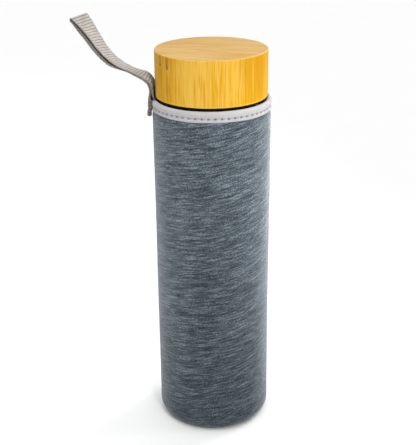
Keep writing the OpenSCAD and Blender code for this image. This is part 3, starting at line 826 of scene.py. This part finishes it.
# painted shade in the needle holes
def needle_hole_shade_mark(r, z, p):
    d = hole_offset(p)
    on = (r > 33.4) & (strap_off(p) > 13.0)
    return np.where(on, np.clip(1.25 * np.exp(-((d / 0.72) ** 4) - ((z - STITCH_Z) / 0.36) ** 2), 0, 1), 0.0)


# painted shade along the stitch groove
def stitch_groove_shade_mark(r, z, p):
    return np.where(r > 33.4, bump(z, STITCH_Z, 0.26), 0.0)


def bind_disp(r, z, p):
    outer = r > 33.5
    d = hole_offset(p)
    on = strap_off(p) > 13.0
    dip = np.where(outer & on, 0.42 * np.exp(-((d / 0.7) ** 2) - ((z - STITCH_Z) / 0.36) ** 2), 0)
    puff = np.where(outer, 0.045 * np.cos(2 * PI * d / (hole_step * 34)) * bump(z, STITCH_Z, 1.0), 0)
    wave = np.where(outer | (z > ROLL_Z), 0.035 * np.sin(4 * p + 1.1) + 0.02 * np.sin(11 * p + 0.3), 0)
    r2 = r - dip - puff + wave
    edge = np.where(outer, bump(z, 195.4, 0.5), 0)
    z2 = z + edge * (0.10 * np.sin(5 * p + 0.8) + 0.05 * np.sin(13 * p + 2.0)) + np.where(z > 200.6, 0.06 * np.sin(3 * p + 0.5), 0)
    w = pocket_w(p)
    up = smooth(z, 200.4, 200.9)
    fold = np.where(z > ROLL_Z, np.hypot(r - ROLL_C, z - ROLL_Z) < 1.27, (r > 31.3) & (r < 32.6))
    lim = pocket_line(z) + np.where(fold, 0.38 + 0.20 * up, 0.36 * up) + 0.04 * (r - 31.0)
    inner = (r < 33.0) | (z > 200.2)
    r2 = np.where(inner & (r2 < lim), r2 + (lim - r2) * w, r2)
    return r2, z2, p


top_out = arc(ROLL_C, ROLL_Z, 1.54, 12, 168, 26)
bind_prof = chain(
    (33.54, 195.50), (33.70, 195.41), (33.86, 195.40), (33.98, 195.48), (34.05, 195.64), (34.08, 195.90), (34.08, 196.20), (34.06, 196.48), (34.00, 196.74),
    (33.92, 196.94), (33.83, 197.10), (33.77, 197.24), (33.74, 197.40), (33.76, 197.56), (33.82, 197.72), (33.90, 197.92), (33.97, 198.16), (34.02, 198.45), (34.05, 198.80), (34.06, 199.20), (34.05, 199.62),
    top_out, (31.0, 199.7), line((31.0, 199.0), (31.0, 197.9), 3), (31.06, 197.65), (31.16, 197.4), (31.06, 197.15), line((31.0, 196.9), (31.0, 195.8), 3), (31.08, 195.55), (31.3, 195.46), (31.46, 195.55),
    line((31.5, 195.9), (31.5, 199.6), 5), arc(ROLL_C, ROLL_Z, 1.0, 176, 4, 12), line((33.5, 199.5), (33.5, 195.8), 5),
)
bind_phis = np.linspace(-PI, PI, 928, endpoint=False)
b = Build()
revolve(b, bind_prof, bind_phis, bind_disp, ref_r=34.0, marks={"hole": needle_hole_shade_mark, "groove": stitch_groove_shade_mark})
binding = b.make("rim_binding_visual", [BINDING_M], "sleeve", ["rim_binding"])


def on_wall(r, az, z):
    return np.stack([r * np.cos(az), r * np.sin(az), np.broadcast_to(z, np.shape(az))], -1)


# ------------------------------------------------------------------ threads
b = Build()
for i in range(STITCHES):
    a = (i + 0.5) * hole_step
    if abs(math.degrees(a) - 180) <= 16:
        continue
    q = np.linspace(-1, 1, 15)
    az = a + q * hole_step * 0.36
    r = 33.90 - 0.42 * np.abs(q) ** 4 + rng.uniform(-0.015, 0.015)
    z = STITCH_Z + 0.05 * q * rng.uniform(-1, 1) + rng.uniform(-0.03, 0.03)
    tube(b, on_wall(r, az, z), 0.165 * (1 - 0.25 * np.abs(q) ** 4), 10, 0.10, 0.9, rng.uniform(0, 6))
needle = b.make("rim_needle_thread_visual", [LIGHT_T], "sleeve", ["rim_needle_thread"])

b = Build()
for i in range(STITCHES):
    a = (i + 0.5) * hole_step
    if abs(math.degrees(a) - 180) <= 19:
        continue
    q = np.linspace(-1, 1, 9)
    tube(b, on_wall(31.11 + 0.12 * np.abs(q) ** 6, a + q * hole_step * 0.47, STITCH_Z + 0.0 * q), 0.085, 6)
bobbin = b.make("rim_bobbin_thread_visual", [LIGHT_T], "sleeve", ["rim_bobbin_thread"])

b = Build()
for z0 in np.arange(10, 191.6, 3):
    q = np.linspace(-1, 1, 13)
    az = PI / 2 + q * math.radians(2.55)
    r = 33.62 - 0.20 * bump(q, 0, 0.35) - 0.34 * np.abs(q) ** 8
    tube(b, on_wall(r, az, z0 + 0.28 * q + rng.uniform(-0.08, 0.08)), 0.14, 8, 0.10, 0.8, rng.uniform(0, 6))
side_seam = b.make("side_seam_thread_visual", [DARK_T], "sleeve", ["side_seam_thread"])

b = Build()
for i in range(60):
    a = math.radians(6 * i + 3)
    q = np.linspace(-1, 1, 9)
    ang = math.acos((29.5 - 26.9) / CORNER) + q * 0.65 / CORNER
    rr = CORNER + 0.09 - 0.30 * np.abs(q) ** 8
    rad, z = 26.9 + rr * np.cos(-ang), 6.6 + rr * np.sin(-ang)
    az = a + q * 0.008 + rng.uniform(-0.003, 0.003)
    tube(b, np.stack([rad * np.cos(az), rad * np.sin(az), z], -1), 0.095, 7)
base_seam = b.make("base_seam_thread_visual", [DARK_T], "sleeve", ["base_seam_thread"])

# ------------------------------------------------------------------ strap
ROOT_R, ROOT_Z = 33.4, 203.6
# out, up, sideways, turn of the width, half distance between the plies' middles, tilt of the width
route = np.array([
    [0, 0, 0, 4, 0.60, 0], [0, 3.5, 0, 5, 0.50, 0], [1, 7, 0, 6, 0.47, 0], [4, 9.8, 0, 8, 0.47, 0], [8.5, 11.6, 1, 12, 0.47, -5],
    [15, 14, 2.5, 18, 0.50, -8], [21.5, 17.4, 5, 24, 0.64, -10], [28, 23, 8, 28, 0.80, -12], [34, 31, 11.5, 28, 0.84, -8], [41, 40, 15, 28, 0.80, 4],
])
chord = np.concatenate([[0], np.cumsum(np.linalg.norm(np.diff(route[:, :3], axis=0), axis=1))])
dense = nat_spline(chord, route, np.linspace(0, chord[-1], 600))
mids = np.stack([-ROOT_R - dense[:, 0], dense[:, 2], ROOT_Z + dense[:, 1]], -1)
turn, tilt = np.radians(dense[:, 3]), np.radians(dense[:, 5])[:, None]
ways = unit(np.gradient(mids, axis=0))
flat = np.stack([np.sin(turn), np.cos(turn), 0 * turn], -1)
wide = flat * np.cos(tilt) + unit(np.cross(flat, ways)) * np.sin(tilt)
ups = unit(np.cross(wide, ways))
run = np.concatenate([[0], np.cumsum(np.linalg.norm(np.diff(mids, axis=0), axis=1))])
half = dense[:, 4:5]
# The lower ply wanders sideways under the upper one, and sags below its bend
drift = 2.6 * bump(dense[:, 0], 12.5, 5.5) - 1.4 * smooth(dense[:, 0], 18.5, 27) * (1 - smooth(run, run[-1] - 10, run[-1]))
low_ply = mids - ups * (half + 0.75 * bump(dense[:, 0:1], 20.5, 4.0)) + wide * drift[:, None]
up_ply = mids + ups * half
skip = run > 2.0
th = np.linspace(0, PI, 17)[1:-1]
fold = mids[-1] + half[-1] * (-ups[-1] * np.cos(th)[:, None] + ways[-1] * np.sin(th)[:, None])
out_tail = np.array([[-35.08, 0, 192.6], [-35.04, 0, 194.6], [-35.02, 0, 197.0], [-35.0, 0, 199.3], [-34.88, 0, 201.3], [-34.52, 0, 203.4], [low_ply[skip][0][0], 0, low_ply[skip][0][2]]])
in_tail = np.array([[up_ply[skip][0][0], 0, up_ply[skip][0][2]], [-32.78, 0, 203.6], [-32.55, 0, 202.0], [-32.05, 0, 200.3], [-31.66, 0, 198.9], [-31.55, 0, 197.3], [-31.55, 0, 195.3], [-31.55, 0, 193.3]])


def finer(p, n):
    t = np.concatenate([[0], np.cumsum(np.linalg.norm(np.diff(p, axis=0), axis=1))])
    return nat_spline(t, p, np.linspace(0, t[-1], n))


def turning(p, to):
    """Width directions of a sewn end: across the rim below, as the strap above it."""
    f = smooth(p[:, 2], 199.5, 205.6)[:, None]
    return np.array([[0.0, 1.0, 0.0]]) * (1 - f) + to[None] * f


tails = [finer(out_tail, 90)[:-1], finer(in_tail, 90)[1:]]
parts = [tails[0], low_ply[skip], fold, up_ply[skip][::-1], tails[1]]
wides = [turning(tails[0], wide[skip][0]), wide[skip], np.repeat(wide[-1:], len(fold), 0), wide[skip][::-1], turning(tails[1], wide[skip][0])]
path, wdir = np.vstack(parts), np.vstack(wides)
is_out = np.concatenate([np.full(len(p), v) for p, v in zip(parts, (1.0, 0.0, 0.0, 0.0, 0.0))])
s_all = np.concatenate([[0], np.cumsum(np.linalg.norm(np.diff(path, axis=0), axis=1))])
RIB = 1.8
n_st = int(s_all[-1] / (RIB / 11))
s = np.linspace(0, s_all[-1], n_st)
at = lambda arr: np.stack([np.interp(s, s_all, arr[:, k]) for k in range(3)], -1)
cen, wv = at(path), unit(at(wdir))
kern = np.array([1, 2, 3, 4, 3, 2, 1], float) / 16
for k in range(3):
    cen[3:-3, k] = np.convolve(cen[:, k], kern, "valid")
    wv[3:-3, k] = np.convolve(wv[:, k], kern, "valid")
tng = unit(np.gradient(cen, axis=0))
wv = unit(wv - tng * (wv * tng).sum(-1, keepdims=True) * 0.5)
nrm = unit(np.cross(tng, wv))
cup = 1 - smooth(cen[:, 2], 199.0, 207.0)
cup = np.where(cen[:, 0] < -36.5, 0, cup) * np.where(np.interp(s, s_all, is_out) > 0.5, 0.6, 1.0)
STRAP_LEN = float(s_all[-1])

lat = np.linspace(-1, 1, 29)
edge_a = np.radians([60, 30, 0, -30, -60])
top = np.stack([lat * 7.1, np.ones_like(lat)], -1)
right = np.stack([7.1 + 0.36 * np.cos(edge_a), np.sin(edge_a)], -1)
section = np.vstack([top, right, top[::-1] * [1, -1], right[::-1] * [-1, 1]])
rim_l = smooth(np.abs(section[:, 0]), 6.2, 6.75)[None]
ripple = lattice((60, 900), 8)
ragged = lattice((97, 31), 9)
l = section[:, 0][None] * np.ones((n_st, 1))
side = section[:, 1][None]
sv = s[:, None]
sw = sv + 0.07 * np.sin(l * 0.8 + 0.6) + 0.14 * ripple(l / 4.0 + 20, sv / 6.0)
wave = np.abs(np.sin(PI * sw / RIB))
sewn = (np.interp(s, s_all, is_out) * (1 - smooth(cen[:, 2], 199, 205)))[:, None]
rim_w = rim_l * (1 - 0.9 * sewn)  # the sewn end has no flat edge: its ribs run out to the sides
ribs = wave**0.8 * (1 - rim_w) + 0.62 * rim_w
loops = 0.5 + 0.5 * np.cos(2 * PI * sw / (RIB / 2))
hold = 0.25 + 0.17 * ribs + 0.03 * ripple(l / 0.5 + 30, sv / 0.5) + 0.05 * loops * rim_l
cut_out = np.clip(1 - s / 2.6, 0, 1)[:, None]
cut_in = np.clip(1 - (STRAP_LEN - s) / 1.2, 0, 1)[:, None]
hold = hold * (1 + 1.35 * sewn)
# the lower ply is fuller
s_fold = s_all[len(parts[0]) + len(parts[1]) - 1]
under = (smooth(s, 26, 40) * (1 - smooth(s, s_fold - 9, s_fold - 1)))[:, None]
hold = hold * (1 + 0.38 * under)
hold = hold * (1 + 0.45 * cut_out**2 * (1 + 0.5 * ragged(l * 3.1, sv * 4)))
scallop = 0.26 * (loops - 0.5) + 0.16 * ripple(l / 9 + 7, sv / 2.2)
wid = l + np.sign(l) * scallop * smooth(np.abs(l), 5.6, 7.3)
wid = wid * (1 + 0.035 * cut_out**2)
pts = cen[:, None] + wv[:, None] * wid[..., None] + nrm[:, None] * (side * hold)[..., None]
pts[..., 0] += cup[:, None] * wid**2 / (2 * 34.0)
pts[..., 0] -= 0.35 * cut_out**2
pts[..., 2] -= cut_out**4 * 0.35 * (0.5 + ragged(l * 2.3 + 5, side * 3 + 4 + 0 * l))
closed_l = np.concatenate([np.cumsum(np.linalg.norm(np.diff(np.vstack([section * [1, 0.45], section[:1] * [1, 0.45]]), axis=0), axis=1))])
closed_l = np.concatenate([[0], closed_l])
uu = np.concatenate([section[:, 0], section[:1, 0]])
uv = np.stack([np.broadcast_to(uu[None], (n_st, len(uu))), np.broadcast_to(s[:, None], (n_st, len(uu)))], -1) * 0.001
bake = np.stack([np.broadcast_to(closed_l[None] / closed_l[-1], (n_st, len(uu))), np.broadcast_to(s[:, None] / s[-1], (n_st, len(uu)))], -1) * 0.99 + 0.005
on_edge = smooth(np.abs(l), 6.9, 7.2)
# painted shadow of the cap on the strap's inner half near its root
painted_cap_shadow = ((s > 0.5 * STRAP_LEN) * (1 - smooth(cen[:, 2], 204, 214)))[:, None]
# painted shade in the rib grooves near the root, under the cap
deep = (1 - smooth(cen[:, 2], 205, 219))[:, None] * np.ones_like(l)
# painted shade on the loop's inner faces, between its plies
painted_shade_between_plies = smooth(-side, 0.55, 0.95) * (smooth(s, 24, 38) * (1 - smooth(s, STRAP_LEN - 38, STRAP_LEN - 24)))[:, None] * (1 - 0.6 * on_edge)
# darkening mark: frayed cut ends are darker in their own colour; painted shade on the woven edges, more on the lower
# ply; dirt with painted shade on the sewn outer end; painted shade between the plies; painted shadow of the cap near
# the root
cut_end_and_shade_mask = np.clip(cut_out**2 + cut_in**2 + (0.26 + 0.20 * under) * on_edge + 0.72 * painted_shade_between_plies + (0.30 + 0.30 * on_edge) * sewn + 0.45 * painted_cap_shadow, 0, 1)
b = Build()
b.grid(pts, close_j=True, uv=uv, bake=bake, marks={"rib": ribs, "cut": cut_end_and_shade_mask, "deep": deep},
       pole0=(pts[0].mean(0) + [0.0, 0, -0.15], (0, 0), 0.0, {"rib": 0.6, "cut": 1.0}), pole1=(pts[-1].mean(0) + [0, 0, -0.05], (0, 0), 1.0, {"rib": 0.6, "cut": 1.0}))
# loose fibres at the cut end, then along both woven edges
for k in range(110):
    l0 = rng.uniform(-7.5, 7.5)
    off = rng.uniform(-0.55, 0.75)
    lean = rng.uniform(-0.7, 0.7)
    away = rng.uniform(-0.1, 0.9)
    ln = rng.uniform(0.45, 1.15)
    q = np.linspace(0, 1, 5)
    x = -35.3 - off + 0.6 * l0**2 / 68 - away * ln * q**1.5
    y = l0 + lean * ln * q + 0 * q
    z = 192.85 - ln * q
    tube(b, np.stack([x, y, z], -1), 0.07 * (1 - 0.35 * q), 5, marks={"rib": 0.55, "cut": 0.6})
for k in range(1060):
    loose = k >= 620  # more and longer ones on the lower ply
    i = int(rng.integers(int(26 / STRAP_LEN * n_st), int(s_fold / STRAP_LEN * n_st)) if loose else rng.integers(14, n_st - 90))
    sd = -1.0 if k % 2 else 1.0
    ln = rng.uniform(0.3, 0.8) if loose else rng.uniform(0.18, 0.55)
    q = np.linspace(0, 1, 4)[:, None]
    foot = cen[i] + wv[i] * sd * 7.3 + nrm[i] * rng.uniform(-0.3, 0.3)
    foot = foot + np.array([cup[i] * 7.3**2 / 68.0, 0, 0])
    go = wv[i] * sd * rng.uniform(0.35, 1.0) + nrm[i] * rng.uniform(-0.9, 0.9) + tng[i] * rng.uniform(-0.8, 0.8)
    bend = tng[i] * rng.uniform(-0.5, 0.5)
    # the edge fibres carry the painted shade of the woven edges
    tube(b, foot + go * ln * q + bend * ln * q**2, 0.045, 5, marks={"rib": 0.6, "cut": 0.35})
strap = b.make("strap_webbing_visual", [WEBBING], None, ["strap_loop", "strap_inner_tail", "strap_outer_tail"])
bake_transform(strap)

b = Build()
n_zig = 44
zl = np.linspace(-6.7, 6.7, n_zig)
zz = np.where(np.arange(n_zig) % 2 == 0, STITCH_Z - 1.0, STITCH_Z + 1.0) + rng.uniform(-0.08, 0.08, n_zig)
knots_ = np.stack([-(35.98 + 0.0 * zl) + 0.6 * zl**2 / 68, zl, zz], -1)
fine = []
for i in range(n_zig - 1):
    q = np.linspace(0, 1, 9)[:-1, None]
    seg = knots_[i] * (1 - q) + knots_[i + 1] * q
    seg[:, 0] += 0.16 * (np.abs(2 * q[:, 0] - 1)) ** 6
    fine.append(seg)
tube(b, np.vstack(fine), 0.13, 8, 0.10, 0.8)
bartack = b.make("strap_bartack_visual", [LIGHT_T], "sleeve", ["strap_bartack"])

# ------------------------------------------------------------------ bottle
SH_Z = 201.0 - math.sqrt(13.0**2 - (27.8 - 20.7) ** 2)
tan_a = math.degrees(math.atan2(201.0 - SH_Z, 27.8 - 20.7))


def glass_shell(d, a_from, a_to, n):
    return arc(20.7, SH_Z, 10 - d, a_from, a_to, n), arc(27.8, 201.0, 3 + d, 180 + tan_a, 180, n)


so, fo = glass_shell(0, 0, tan_a, 14)
si, fi = glass_shell(2.2, 0, tan_a, 14)
glass_prof = chain(
    (0, 3.6), line((1.5, 3.58), (20, 3.3), 8), (23.5, 3.0), (24.6, 2.85), (25.7, 2.8), arc(25.7, 7.8, 5, -88, 0, 12), line((30.7, 12), (30.7, SH_Z - 2), 30), so, fo, line((24.8, 201.2), (24.8, 217.8), 68),
    arc(23.7, 217.9, 1.1, 0, 180, 14), line((22.6, 217.5), (22.6, 201.4), 16), fi[::-1], si[::-1], line((28.5, SH_Z - 2), (28.5, 12.5), 30), arc(24.5, 11.8, 4, 0, -88, 10), line((22, 7.8), (2, 8.3), 8), (0, 8.35),
)


def screw(az, z, z0, turns, lead):
    """Height share of a right-handed ridge around z0 at angle 0, thinned at both ends."""
    out = np.zeros_like(z)
    for k in range(int(turns) + 2):
        t = np.mod(az, 2 * PI) / (2 * PI) + k
        ok = t <= turns
        d = np.abs(z - (z0 + lead * t))
        end = np.clip(np.minimum(t, turns - t) * 12, 0, 1)
        out = np.maximum(out, np.where(ok, smooth(1.15 - d, 0, 0.62) * end, 0))
    return out


def glass_disp(r, z, p):
    az = p - PI / 2
    neck = (r > 24.5) & (r < 25.2) & (z > 202) & (z < 218)
    return r + np.where(neck, 1.3 * screw(az, z, 207.4, 1.5, 5.0), 0), z, p


b = Build()
revolve(b, glass_prof, np.linspace(-PI, PI, 240, endpoint=False), glass_disp, poles=True)
glass = b.make("glass_bottle_visual", [GLASS], "bottle", ["glass_bottle"])

# ------------------------------------------------------------------ cap
pores = lattice((700, 24), 21)
pores2 = lattice((300, 12), 22)


def cap_disp(r, z, p):
    side = (r > 31.3) & (z > 203) & (z < 228.6)
    turn = p / (2 * PI)
    groove = np.clip(pores(turn * 700, z / 9) - 0.35, 0, 1) * 0.035 + np.clip(pores2(turn * 300, z / 14) - 0.4, 0, 1) * 0.03
    worn = 0.03 * np.sin(6 * p + 1.3) * bump(z, 228.8, 0.5)
    return r - np.where(side, groove, 0) + np.where(r > 31, worn, 0), z, p


cap_prof = chain(
    (0, 222.98), line((3, 222.98), (28.2, 222.98), 6), (28.28, 222.9), line((28.28, 222), (28.28, 204), 8), (28.3, 203.0), (28.42, 202.82), line((28.6, 202.8), (31.45, 202.8), 8), (31.6, 202.84), (31.72, 202.95), (31.78, 203.1), (31.8, 203.3),
    line((31.8, 203.8), (31.8, 227.9), 40), (31.8, 228.3), (31.79, 228.48), (31.74, 228.62), (31.64, 228.73), (31.5, 228.79), (31.3, 228.8), line((30.6, 228.8), (1.5, 228.8), 24), (0, 228.8),
)
inner = cap_prof[1:-1]
row_mat = np.where((inner[:, 1] > 228.6) & (inner[:, 0] < 31.75), 1, 0)
b = Build()
revolve(b, cap_prof, np.linspace(-PI, PI, 720, endpoint=False), cap_disp, ref_r=CAP_R, row_mat=row_mat, poles=True,
        marks={"edge": lambda r, z, p: np.clip(bump(z, 228.75, 0.22) * bump(r, 31.65, 0.3) + 0.3 * bump(z, 202.9, 0.2) * bump(r, 31.7, 0.3), 0, 1)})
cap = b.make("bamboo_cap_visual", [SIDE_M, TOP_M], "cap", ["bamboo_cap"])


def insert_disp(r, z, p):
    az = p - PI / 2
    wall = (r > 26.3) & (r < 26.9) & (z > 203) & (z < 218)
    return r - np.where(wall, 1.3 * screw(az, z, 205.0, 1.5, 5.0), 0), z, p


ins_prof = chain(
    (0, 222.95), line((2, 222.95), (28.0, 222.95), 6)[::1], (28.24, 222.8), line((28.26, 222.4), (28.26, 203.0), 8), (28.3, 202.8), (28.5, 202.78), line((29, 202.78), (31.15, 202.78), 4), (31.32, 202.72), (31.4, 202.55), (31.4, 202.1), (31.38, 201.92), (31.28, 201.78), (31.1, 201.7),
    line((30.8, 201.7), (27.0, 201.7), 8), (26.78, 201.74), (26.64, 201.88), line((26.6, 202.2), (26.6, 220.6), 76), (26.5, 221.1), (26.2, 221.35), line((25.8, 221.4), (2, 221.4), 10), (0, 221.4),
)[::-1]
b = Build()
revolve(b, ins_prof, np.linspace(-PI, PI, 240, endpoint=False), insert_disp, poles=True)
insert = b.make("cap_insert_visual", [PLASTIC], "cap", ["cap_insert"])

seal_prof = chain(
    (20.35, 219.3), line((21.0, 219.3), (22.2, 219.3), 4), (22.5, 219.42), (22.8, 219.42), (23.1, 219.3), (23.6, 219.3), (23.9, 219.42), (24.2, 219.42), (24.5, 219.3), line((24.8, 219.3), (25.8, 219.3), 3), arc(25.85, 219.65, 0.35, -80, 0, 5),
    (26.2, 220.2), arc(25.85, 220.75, 0.35, 0, 90, 6), line((25.4, 221.1), (20.8, 221.1), 8), arc(20.35, 220.75, 0.35, 100, 180, 5), (20.0, 220.2), arc(20.35, 219.65, 0.35, 180, 260, 5),
)
b = Build()
revolve(b, seal_prof, np.linspace(-PI, PI, 200, endpoint=False))
seal = b.make("cap_seal_visual", [SILICONE], "seal", ["cap_seal"])

# ------------------------------------------------------------------ stage
fm = Mat("floor", Roughness=0.9, Specular_IOR_Level=0.1)
fcol = fm.ramp(fm.noise(fm.obj(), 0.02, 2), [(0.0, (0.89, 0.89, 0.89)), (1.0, (0.91, 0.91, 0.91))])
fme = bpy.data.meshes.new("floor")
fme.from_pydata([(-15, -15, -0.0003), (15, -15, -0.0003), (15, 15, -0.0003), (-15, 15, -0.0003)], [], [(0, 1, 2, 3)])
fme.materials.append(fm.done(fcol))
floor = bpy.data.objects.new("floor", fme)
bpy.context.scene.collection.objects.link(floor)

# A bright overhead panel, dim sides and a pale horizon, as in a small photo studio
world = bpy.data.worlds.new("studio")
world.use_nodes = True
wt = world.node_tree
bg = next(n for n in wt.nodes if n.type == "BACKGROUND")
way = wt.nodes.new("ShaderNodeTexCoord")
sep = wt.nodes.new("ShaderNodeSeparateXYZ")
sky = wt.nodes.new("ShaderNodeValToRGB")
wt.links.new(way.outputs["Generated"], sep.inputs[0])
wt.links.new(sep.outputs["Z"], sky.inputs[0])
steps = [(0.0, 0.36), (0.17, 0.36), (0.40, 0.10), (0.68, 0.10), (0.84, 1.0), (1.0, 1.0)]
while len(sky.color_ramp.elements) < len(steps):
    sky.color_ramp.elements.new(0.5)
for e, (pos, val) in zip(sky.color_ramp.elements, steps):
    e.position, e.color = pos, (val, val, val, 1)
wt.links.new(sky.outputs[0], bg.inputs["Color"])
bg.inputs["Strength"].default_value = 2.2
bpy.context.scene.world = world


def lamp(name, at, to, size, power, spread=180.0, colour=(1, 1, 1)):
    d = bpy.data.lights.new(name, "AREA")
    d.shape = "RECTANGLE"
    d.size, d.size_y = size
    d.energy = power
    d.spread = math.radians(spread)
    d.color = colour
    o = bpy.data.objects.new(name, d)
    o.location = at
    o.rotation_mode = "QUATERNION"
    o.rotation_quaternion = (Vector(to) - Vector(at)).to_track_quat("-Z", "Y")
    o.visible_camera = False
    bpy.context.scene.collection.objects.link(o)
    return o


lamp("key", (0.18, -0.50, 0.52), (0.0, 0.0, 0.185), (0.14, 0.14), 0.15, spread=30)
lamp("right", (0.50, 0.0, 0.18), (0.0, 0.0, 0.120), (0.12, 0.12), 0.092, spread=27)
lamp("left", (-0.50, 0.01, 0.20), (0.0, 0.0, 0.112), (0.12, 0.12), 0.055, spread=26)
lamp("back_right", (0.45, 0.36, 0.45), (0.0, 0.0, 0.20), (0.30, 0.30), 0.40, spread=60)

# ------------------------------------------------------------------ camera
pitch, yaw, roll = math.radians(22.27), math.radians(-0.29), math.radians(-0.57)
fwd = Vector((math.sin(yaw) * math.cos(pitch), math.cos(yaw) * math.cos(pitch), -math.sin(pitch)))
rgt = Vector((math.cos(yaw), -math.sin(yaw), 0))
upv = rgt.cross(fwd)
r2 = math.cos(roll) * rgt + math.sin(roll) * upv
u2 = -math.sin(roll) * rgt + math.cos(roll) * upv
cam = bpy.data.cameras.new("camera")
cam.sensor_fit = "AUTO"
cam.sensor_width = 36.0
cam.lens = 975.54 * 36.0 / 445.0
cam.clip_start, cam.clip_end = 0.01, 100
cam.dof.use_dof = False
cob = bpy.data.objects.new("camera", cam)
cob.matrix_world = Matrix(((r2.x, u2.x, -fwd.x, 0.0), (r2.y, u2.y, -fwd.y, -0.53752), (r2.z, u2.z, -fwd.z, 0.34433), (0, 0, 0, 1)))
bpy.context.scene.collection.objects.link(cob)
bpy.context.scene.camera = cob
bpy.context.scene.view_settings.view_transform = "Standard"
bpy.context.scene.view_settings.look = "None"
